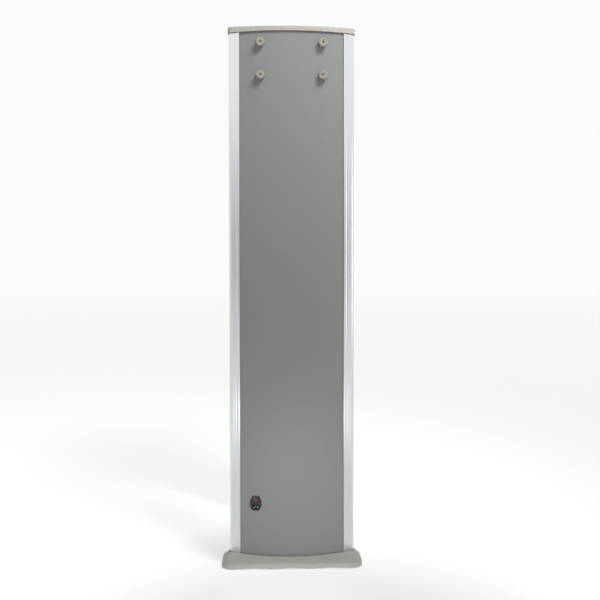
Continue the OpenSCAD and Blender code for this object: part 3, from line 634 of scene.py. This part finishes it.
class GateSizes(bpy.types.PropertyGroup):
    """Sizes of the details that the frame leaves open."""

    cap_fillet: length("Cap edge", "Radius of the rounded upper edge of a cap", 0.005)
    rim_arch: length("Rim arches", "How far a foot's rim rises between its pads", 0.003)
    foot_flare: length("Foot flare", "How far the foot's collar turns up round the upright", 0.005)
    foot_crown: length("Foot crown", "How far the foot's slopes bulge", 0.0012)
    profile_edge: length("Profile edges", "Rounding of the edges of the aluminium profiles", 0.0003)
    sheet_edge: length("Sheet edges", "Rounding of the edges of the crossbeam's sheet metal", 0.0005)
    moulding_edge: length("Moulding edges", "Rounding of the edges of small mouldings", 0.0004)
    knob_ribs: whole("Knob ribs", "Ribs round the head of a hand bolt", 6, 24)
    knob_rib: length("Knob rib depth", "Depth of the hollows between the ribs", 0.0005)
    lens_ribs: whole("Lens ribs", "Upright ribs on the alarm lens", 4, 60)


class GateColours(bpy.types.PropertyGroup):
    """Colours of the main finishes."""

    board: colour("Boards", "Laminated boards", (0.221, 0.233, 0.224))
    aluminium: colour("Profiles", "Anodised edge profiles", (0.66, 0.685, 0.695))
    cap: colour("Caps", "Moulded caps", (0.395, 0.378, 0.342))
    foot: colour("Feet", "Moulded foot covers", (0.435, 0.43, 0.395))
    knob: colour("Hand bolts", "Moulded heads of the hand bolts", (0.285, 0.28, 0.235))
    beam: colour("Crossbeam", "Powder-coated sheet metal", (0.50, 0.51, 0.49))
    inlet: colour("Inlet", "Black mouldings", (0.012, 0.012, 0.014))
    rocker: colour("Rocker", "Mains rocker", (0.10, 0.020, 0.028))
    lens: colour("Alarm lens", "Red alarm lens", (0.30, 0.012, 0.012))


class GateStudio(bpy.types.PropertyGroup):
    """The camera and lights."""

    place: FloatVectorProperty(
        name="Camera", description="Place of the camera", unit="LENGTH", subtype="TRANSLATION", size=3,
        default=(3.568, -0.0774, 1.169),
    )
    yaw: FloatProperty(name="Yaw", description="Turn towards the rear", subtype="ANGLE", default=0.0351)
    pitch: FloatProperty(name="Pitch", description="Tilt upwards", subtype="ANGLE", default=-0.0216)
    roll: FloatProperty(name="Roll", description="Roll to the right", subtype="ANGLE", default=-0.001)
    lens: strength("Lens", "Focal length in millimetres", 46.03)
    room: strength("Room light", "Strength of the even light", 0.03)
    front: strength("Front", "Brightness of the room behind the camera in reflections", 0.33)
    backdrop: strength("Backdrop", "Brightness of what lies behind", 0.96)
    glow: strength("Floor glow", "How far the floor shines by itself near the gate", 0.42)
    far_glow: strength("Far glow", "How far the floor shines by itself far away", 0.78)
    overhead: strength("Overhead", "Power of the softbox above, in watts", 22.886)
    side: strength("Side", "Power of the tall softbox at the side, in watts", 18.0)
    low: strength("Low", "Power of the low softbox in front, in watts", 0.923)


# ---------------------------------------------------------------- operators


class GATE_OT_stage(bpy.types.Operator):
    """Sets up the camera, the lights and the pale floor"""

    bl_idname = "gate.stage"
    bl_label = "Studio"

    def execute(self, context):
        studio = context.scene.gate_studio
        self.camera(context, studio)
        self.world(context, studio)
        self.floor(studio)
        for name, box in SOFTBOXES.items():
            light = self.light(f"{name}_softbox", getattr(studio, name), *box)
            light.visible_glossy = name != "overhead"
        context.scene.view_settings.view_transform = "Standard"
        context.scene.view_settings.look = "None"
        return {"FINISHED"}

    def camera(self, context, studio):
        """Looks along -X with the rear on the right, then turns, tilts and rolls."""

        def turned(first, second, angle):
            return (
                first * math.cos(angle) + second * math.sin(angle),
                second * math.cos(angle) - first * math.sin(angle),
            )

        ahead, right, up = Vector((-1, 0, 0)), Vector((0, 1, 0)), Vector((0, 0, 1))
        ahead, right = turned(ahead, right, studio.yaw)
        ahead, up = turned(ahead, up, studio.pitch)
        right, up = turned(right, up, studio.roll)
        select_only()
        bpy.ops.object.camera_add()
        camera = context.object
        camera.name = "studio_camera"
        turn = Matrix((right, up, -ahead)).transposed().to_4x4()
        camera.matrix_world = Matrix.Translation(studio.place) @ turn
        camera.data.lens = studio.lens
        camera.data.sensor_width = 36.0
        camera.data.clip_end = 200.0
        context.scene.camera = camera

    def world(self, context, studio):
        """Even room light, and a paler surround that only the eye and reflections see, dim in front."""
        world = bpy.data.worlds.new("studio_room")
        made = Nodes(world)
        dim = made.tree.nodes["Background"]
        dim.inputs["Color"].default_value = (0.92, 1.0, 1.02, 1)
        dim.inputs["Strength"].default_value = studio.room
        bright = made.add("Background")
        bright.inputs["Color"].default_value = (1.0, 1.0, 1.0, 1)
        axes = made.add("SeparateXYZ")
        made.join(made.coords, axes.inputs["Vector"])
        # It dims towards the front, from 45 degrees off it, and is bright again from 27 degrees up
        front = made.between(axes.outputs["X"], studio.backdrop, studio.front, 0.70, 0.98)
        above = made.between(axes.outputs["Z"], studio.front, 1.2, 0.10, 0.45)
        path = made.add("LightPath")
        straight = made.reckon("MULTIPLY", path.outputs["Is Camera Ray"], studio.backdrop)
        around = made.reckon("MAXIMUM", front, above)
        made.join(made.reckon("MAXIMUM", around, straight), bright.inputs["Strength"])
        mix = made.add("MixShader")
        made.join(path.outputs["Is Diffuse Ray"], mix.inputs[0])
        made.join(bright.outputs[0], mix.inputs[1])
        made.join(dim.outputs[0], mix.inputs[2])
        made.join(mix.outputs[0], made.tree.nodes["World Output"].inputs["Surface"])
        context.scene.world = world

    def floor(self, studio):
        """A wide pale floor that shines a little by itself, more so far away."""
        select_only()
        bpy.ops.mesh.primitive_circle_add(
            vertices=96, radius=60.0, fill_type="NGON", location=(0, 0, -0.0004)
        )
        floor = bpy.context.object
        floor.name = floor.data.name = "studio_floor"
        material = bpy.data.materials.new("studio_floor")
        made = Nodes(material)
        broad = made.pattern("Noise", Scale=0.6)
        pale = made.blend(broad, (0.78, 0.78, 0.78), (0.80, 0.80, 0.80))
        made.join(pale, made.shader.inputs["Base Color"])
        # The gradient falls from 1 in its middle, 0.85 m in front, to 0 at its reach
        reach, middle, near, far = 10.0, 0.85, 0.35, 1.0
        shrink = (1 / reach,) * 3
        away = made.pattern("Gradient", shrink, (-middle / reach, 0, 0), gradient_type="SPHERICAL")
        glow = made.between(away, studio.far_glow, studio.glow, 1 - far / reach, 1 - near / reach)
        made.join(glow, made.shader.inputs["Emission Strength"])
        made.shader.inputs["Roughness"].default_value = 0.9
        made.shader.inputs["Emission Color"].default_value = (1.0, 0.995, 0.99, 1)
        floor.data.materials.append(material)

    def light(self, name, power, place, aim, size, spread):
        """A softbox that the camera doesn't see."""
        select_only()
        bpy.ops.object.light_add(type="AREA", location=place)
        light = bpy.context.object
        light.name = name
        light.rotation_euler = (Vector(aim) - Vector(place)).to_track_quat("-Z", "Y").to_euler()
        light.data.shape = "RECTANGLE"
        light.data.size, light.data.size_y = size
        light.data.energy = power
        light.data.spread = math.radians(spread)
        light.visible_camera = False
        return light


class GATE_OT_finishes(bpy.types.Operator):
    """Gives every CAD node the procedural finish of its slot"""

    bl_idname = "gate.finishes"
    bl_label = "Finishes"

    def execute(self, context):
        for node, shown in NODES.items():
            shown.data.materials.clear()
            shown.data.materials.append(finish(SLOT_OF[node]))
        return {"FINISHED"}


class GATE_OT_profiles(bpy.types.Operator):
    """Extrudes the aluminium edge profiles with their bead, hooks and fine grooves"""

    bl_idname = "gate.profiles"
    bl_label = "Edge profiles"

    def execute(self, context):
        first = prism(profile_section(), PROFILE_Z[0] * MM, PROFILE_Z[1] * MM)
        round_edges(first, context.scene.gate_sizes.profile_edge, angle=40)
        for side, x_flip in zip(SIDES, (1, -1)):
            for end, y_flip in (("rear", 1), ("front", -1)):
                piece = moved(first, flip=(x_flip, y_flip, 1))
                smooth(piece)
                node = f"{end}_profile_{side}"
                hand_over(piece, f"{node}_extrusion", GATE, "profile_aluminium", node)
        drop(first)
        return {"FINISHED"}


class GATE_OT_caps(bpy.types.Operator):
    """Lofts the moulded caps, with an arched skirt and countersunk screw holes"""

    bl_idname = "gate.caps"
    bl_label = "Top caps"

    def execute(self, context):
        fillet = context.scene.gate_sizes.cap_fillet / MM
        half = HALF_LENGTH + CAP_GROW
        arch_r = (half**2 + CAP_ARCH**2) / (2 * CAP_ARCH)

        def lower(rise):
            return lambda y: CAP_LOW + CAP_ARCH - arch_r + math.sqrt(arch_r**2 - y * y) + rise

        steps = [
            (CAP_SLIP, CAP_CEILING), (CAP_SLIP, lower(CAP_BREAK)), (CAP_SLIP + CAP_BREAK, lower(0)),
            (CAP_GROW - CAP_BREAK, lower(0)), (CAP_GROW, lower(CAP_BREAK)), (CAP_GROW, lower(CAP_SIDE)),
        ]
        for i in range(9):
            a = math.radians(90 * i / 8)
            steps.append((CAP_GROW - fillet * (1 - math.cos(a)), GATE_TOP - fillet * (1 - math.sin(a))))
        first = loft([placed(plan(grow), z) for grow, z in steps])
        tools = []
        for x, y in CAP_SCREWS:
            at = ((HALF_PASSAGE + x) * MM, y * MM)
            low, sunk, top, high = (
                (*at, (GATE_TOP + rise) * MM) for rise in (-5, -CAP_SINK, 0.02, 1)
            )
            tools.append(rod(low, high, CAP_HOLE_R * MM))
            tools.append(rod(sunk, top, CAP_HOLE_R * MM, CAP_SCREW_R * MM))
        carve(first, tools)
        for side, x_flip in zip(SIDES, (1, -1)):
            piece = moved(first, flip=(x_flip, 1, 1))
            smooth(piece)
            hand_over(piece, f"top_cap_{side}_moulding", GATE, "cap_plastic", f"top_cap_{side}")
        drop(first)
        return {"FINISHED"}


class GATE_OT_feet(bpy.types.Operator):
    """Lofts the foot covers, with a softly arched rim, a rounded shoulder and crowned slopes"""

    bl_idname = "gate.feet"
    bl_label = "Foot covers"

    def execute(self, context):
        sizes = context.scene.gate_sizes
        crown, arch, flare = sizes.foot_crown / MM, sizes.rim_arch / MM, sizes.foot_flare / MM

        def rim(rise):
            return lambda y: FOOT_LOW + rise + arch * (0.5 + 0.5 * math.cos(2 * math.pi * y / PAD_PITCH))

        def ring(t, inset, z):
            long, wide, corner = [a + (b - a) * t for a, b in zip(FOOT_BASE, FOOT_LAND)]
            return placed(rounded_rectangle(long - 2 * inset, wide - 2 * inset, corner - inset), z)

        def slope(t):
            straight = FOOT_RIM_TOP + (FOOT_TOP - FOOT_RIM_TOP) * t
            turned_up = max(0.0, (t - FLARE_START) / (1 - FLARE_START)) ** 2
            return straight + crown * math.sin(math.pi * t) + flare * turned_up

        way_up = []
        for i in range(9):
            s = i / 8
            start, end = (1 - s) ** 2 * SHOULDER_LOW, s * s * slope(SHOULDER_REACH)
            way_up.append((s * s * SHOULDER_REACH, start + 2 * s * (1 - s) * FOOT_RIM_TOP + end))
        for i in range(1, 11):
            t = SHOULDER_REACH + (1 - SHOULDER_REACH) * i / 10
            way_up.append((t, slope(t)))
        rings = [ring(t, FOOT_WALL, z - FOOT_WALL) for t, z in reversed(way_up)]
        rings += [ring(0, inset, rim(rise)) for inset, rise in RIM_PROFILE]
        rings += [ring(t, 0, z) for t, z in way_up]
        first = loft(rings)
        tools = []
        for x, y, top in FOOT_BOSSES:
            at = ((HALF_PASSAGE + FOOT_X + x) * MM, y * MM)
            tools.append(rod((*at, PLATE_TOP * MM), (*at, top * MM), *(r * MM for r in BOSS_R)))
        carve(first, tools, "UNION")
        hole = [(x, y) for x, y, _ in placed(plan(CAP_SLIP), 0)]
        below, above = -0.01, 0.08
        carve(first, [prism(hole, below, above)])
        round_edges(first, PLAIN_EDGE, angle=FACETS)
        for side, x_flip in zip(SIDES, (1, -1)):
            piece = moved(first, flip=(x_flip, 1, 1))
            smooth(piece)
            hand_over(piece, f"foot_cover_{side}_moulding", GATE, "foot_plastic", f"foot_cover_{side}")
        drop(first)
        return {"FINISHED"}


class GATE_OT_hand_bolts(bpy.types.Operator):
    """Turns the ribbed heads of the hand bolts and their steel studs"""

    bl_idname = "gate.hand_bolts"
    bl_label = "Hand bolts"

    def execute(self, context):
        sizes = context.scene.gate_sizes
        low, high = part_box("hand_bolt_right_1")
        radius = (high.y - low.y) / 2 / MM
        grip = self.head(radius, sizes)
        stud = self.stud((high.x - low.x) / MM)
        for side, x_flip in zip(SIDES, (1, -1)):
            for number in range(1, 5):
                node = f"hand_bolt_{side}_{number}"
                low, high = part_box(node)
                front = high.x if x_flip > 0 else low.x
                place = (front, (low.y + high.y) / 2, (low.z + high.z) / 2)
                for part, word, slot in ((grip, "grip", "bolt_plastic"), (stud, "stud", "plain_steel")):
                    piece = moved(part, offset=place, flip=(x_flip, 1, 1))
                    smooth(piece, 40)
                    hand_over(piece, f"{node}_{word}", node, slot, node)
        drop(grip)
        drop(stud)
        return {"FINISHED"}

    def turned(self, steps, count, ribs=0, depth=0.0, rib_from=0.0):
        """A turned piece, with hollows between ribs where its radius is large enough."""
        rings = []
        for x, radius in steps:
            ring = []
            for i in range(count):
                a = 2 * math.pi * i / count
                r = radius
                if ribs and radius >= rib_from:
                    r -= depth * (0.5 - 0.5 * math.cos(ribs * a)) ** GRIP_RIB_SHAPE
                ring.append((x * MM, r * MM * math.cos(a), r * MM * math.sin(a)))
            rings.append(ring)
        return loft(rings)

    def head(self, radius, sizes):
        """The ribbed grip, with a recess in its face."""
        steps = list(GRIP_FACE)
        for i in range(7):
            a = math.radians(90 * i / 6)
            inwards, inset = GRIP_EDGE * (1 - math.cos(a)), GRIP_EDGE * (1 - math.sin(a))
            steps.append((-inwards, radius - inset))
        steps += [(x, radius - inset) for x, inset in GRIP_RIM]
        steps += GRIP_SHANK
        return self.turned(steps, 96, sizes.knob_ribs, sizes.knob_rib / MM, radius - GRIP_RIB_BAND)

    def stud(self, reach):
        """The stud, grooved as far as its end."""
        steps = list(STUD_START)
        x = THREAD_START
        while x > -reach + THREAD_END:
            steps += [(x - inwards, r) for inwards, r in THREAD_GROOVE]
            x -= THREAD_PITCH
        steps += [(-reach + 1.0, 3.9), (-reach, 3.0), (-reach, 0.0)]
        return self.turned(steps, 24)


class GATE_OT_inlet(bpy.types.Operator):
    """Dresses the mains inlet: housing, pins, rocker, fuse drawer and fuse"""

    bl_idname = "gate.inlet"
    bl_label = "Mains inlet"

    def execute(self, context):
        edge = context.scene.gate_sizes.moulding_edge
        dress("inlet_housing", edge)
        dress("inlet_pins", FINE_EDGE)
        dress("power_rocker", SOFT_EDGE, "rocker", 3)
        dress("fuse_drawer", FINE_EDGE, "fuse_tray")
        dress("fuse", FINE_EDGE, "fuse_tray", angle=FACETS)
        return {"FINISHED"}


class GATE_OT_crossbeam(bpy.types.Operator):
    """Dresses the crossbeam: sheet metal, front panel, display, lens, keys and sensors"""

    bl_idname = "gate.crossbeam"
    bl_label = "Crossbeam"

    def execute(self, context):
        sizes = context.scene.gate_sizes
        dress("beam_shell", sizes.sheet_edge, angle=FACETS)
        low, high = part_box("panel_screws")
        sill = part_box("alarm_lens")[0].z + LENS_SILL
        planes = [(2, z) for z in (low.z + PANEL_SCREW, high.z - PANEL_SCREW, PANEL_ROW, sill)]
        planes += [(0, x) for x in PANEL_COLUMNS]
        dress("front_panel", FULL_EDGE, segments=3, angle=FACETS, planes=planes)
        dress("display_window", PLAIN_EDGE)
        for number in range(1, 5):
            dress(f"key_{number}", FULL_EDGE, f"key_{number}", 3, FACETS)
        dress("siren", SIREN_EDGE, angle=FACETS)
        self.lens(sizes)
        for node in ("beam_emitters", "beam_receivers"):
            dress(node, PLAIN_EDGE, angle=FACETS)
        return {"FINISHED"}

    def lens(self, sizes):
        """The alarm lens: a ribbed window on a flat flange."""
        low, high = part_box("alarm_lens")
        count = 4 * sizes.lens_ribs
        section = [
            (-LENS_HALF + 2 * LENS_HALF * i / count, low.y + LENS_RIB * abs(math.cos(math.pi * i / 4)))
            for i in range(count + 1)
        ]
        section += [(LENS_HALF, high.y - LENS_FLANGE), (-LENS_HALF, high.y - LENS_FLANGE)]
        window = prism(section, low.z + LENS_MARGIN, high.z - LENS_MARGIN)
        flange = block((low.x, high.y - LENS_FLANGE - 0.0000001, low.z), (high.x, high.y, high.z))
        round_edges(flange, PLAIN_EDGE)
        select_only(window, flange)
        bpy.ops.object.join()
        smooth(window, 20)
        hand_over(window, "alarm_lens_ribbed", GATE, "alarm_red", "alarm_lens")


class GATE_OT_service_door(bpy.types.Operator):
    """Dresses the rear service door, its hinge and its lock"""

    bl_idname = "gate.service_door"
    bl_label = "Service door"

    def execute(self, context):
        sizes = context.scene.gate_sizes
        dress("service_door", sizes.sheet_edge, "service_door", angle=FACETS)
        dress("door_lock", sizes.moulding_edge, "door_lock", angle=FACETS)
        dress("door_hinge_pin", PLAIN_EDGE, angle=FACETS)
        return {"FINISHED"}


class GATE_OT_electronics(bpy.types.Operator):
    """Dresses what shows inside the crossbeam when its door is open"""

    bl_idname = "gate.electronics"
    bl_label = "Electronics"

    def execute(self, context):
        for node in ("power_supply", "display_board", "weld_bushes", "cable_grommets"):
            dress(node, FINE_EDGE, angle=FACETS)
        self.populate(dress("main_board", FINE_EDGE, angle=FACETS))
        return {"FINISHED"}

    def populate(self, board):
        """Gives the parts on the main board their own finishes: connectors, chips and capacitors."""
        for look in ("chip_plastic", "capacitor_sleeve", "connector_plastic"):
            board.data.materials.append(finish(look))
        chip, capacitor, connector = 1, 2, 3
        low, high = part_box("main_board")
        for face in board.data.polygons:
            x, y, z = face.center
            if z > low.z + BOARD_T:
                at_end = min(x - low.x, high.x - x) < CONNECTOR_STRIP
                standing = capacitor if y > CAPACITORS_FROM else chip
                face.material_index = connector if at_end else standing


class GATE_OT_fixings(bpy.types.Operator):
    """Dresses the screws, pads and plates"""

    bl_idname = "gate.fixings"
    bl_label = "Fixings"

    def execute(self, context):
        dress("floor_pads", PAD_EDGE, angle=FACETS)
        for side in SIDES:
            dress(f"foot_plate_{side}", SOFT_EDGE, angle=FACETS)
        for node, along, way, span in CROSSED:
            self.crossed(node, along, way, span)
        screws = taken_from("inlet_screws")
        round_edges(screws, FINE_EDGE, angle=FACETS)
        smooth(screws, flat=True)
        hand_over(
            screws, "inlet_screws_blackened", GATE, "plain_steel", "inlet_screws", look="blackened_steel"
        )
        return {"FINISHED"}

    def crossed(self, node, along, way, span):
        """Cuts a cross recess into the head of every screw of a node."""
        piece = taken_from(node)
        round_edges(piece, FINE_EDGE, angle=FACETS)
        across = [i for i in range(3) if i != along]
        heads = {}
        for face in piece.data.polygons:
            if face.normal[along] * way > 0.999:
                key = tuple(round(face.center[i] / SCREW_SPACING) for i in across)
                if key not in heads or face.center[along] * way > heads[key].center[along] * way:
                    heads[key] = face
        centres = [face.center.copy() for face in heads.values() if face.area > SCREW_HEAD_AREA]
        tools = []
        for centre in centres:
            for wide in across:
                low, high = list(centre), list(centre)
                for i in across:
                    reach = span / 2 if i == wide else RECESS_HALF
                    low[i] -= reach
                    high[i] += reach
                ends = centre[along] - way * RECESS_DEPTH, centre[along] + way * RECESS_OVER
                low[along], high[along] = sorted(ends)
                tools.append(block(low, high))
        carve(piece, tools)
        smooth(piece, flat=True)
        hand_over(piece, f"{node}_crossed", GATE, "plain_steel", node)


# ---------------------------------------------------------------- add-on

GROUPS = {"gate_sizes": GateSizes, "gate_colours": GateColours, "gate_studio": GateStudio}
STEPS = (
    GATE_OT_stage, GATE_OT_finishes, GATE_OT_profiles, GATE_OT_caps, GATE_OT_feet, GATE_OT_hand_bolts,
    GATE_OT_inlet, GATE_OT_crossbeam, GATE_OT_service_door, GATE_OT_electronics, GATE_OT_fixings,
)


class GATE_PT_panel(bpy.types.Panel):
    """Lists the gate's settings and steps"""

    bl_idname = "GATE_PT_panel"
    bl_label = "Security gate"
    bl_space_type = "VIEW_3D"
    bl_region_type = "UI"
    bl_category = "Security gate"

    def draw(self, context):
        for name, group in GROUPS.items():
            box = self.layout.box()
            for key in group.__annotations__:
                box.prop(getattr(context.scene, name), key)
        for step in STEPS:
            self.layout.operator(step.bl_idname)


def register():
    """Registers the settings, the steps and the panel."""
    for kind in (*GROUPS.values(), *STEPS, GATE_PT_panel):
        bpy.utils.register_class(kind)
    for name, group in GROUPS.items():
        setattr(bpy.types.Scene, name, PointerProperty(type=group))


def unregister():
    """Takes them away again."""
    for name in GROUPS:
        delattr(bpy.types.Scene, name)
    for kind in (GATE_PT_panel, *reversed(STEPS), *reversed(GROUPS.values())):
        bpy.utils.unregister_class(kind)


def main():
    """Makes the studio and every piece."""
    register()
    bpy.ops.gate.stage()
    bpy.ops.gate.finishes()
    bpy.ops.gate.profiles()
    bpy.ops.gate.caps()
    bpy.ops.gate.feet()
    bpy.ops.gate.hand_bolts()
    bpy.ops.gate.inlet()
    bpy.ops.gate.crossbeam()
    bpy.ops.gate.service_door()
    bpy.ops.gate.electronics()
    bpy.ops.gate.fixings()


if __name__ == "__main__":
    main()
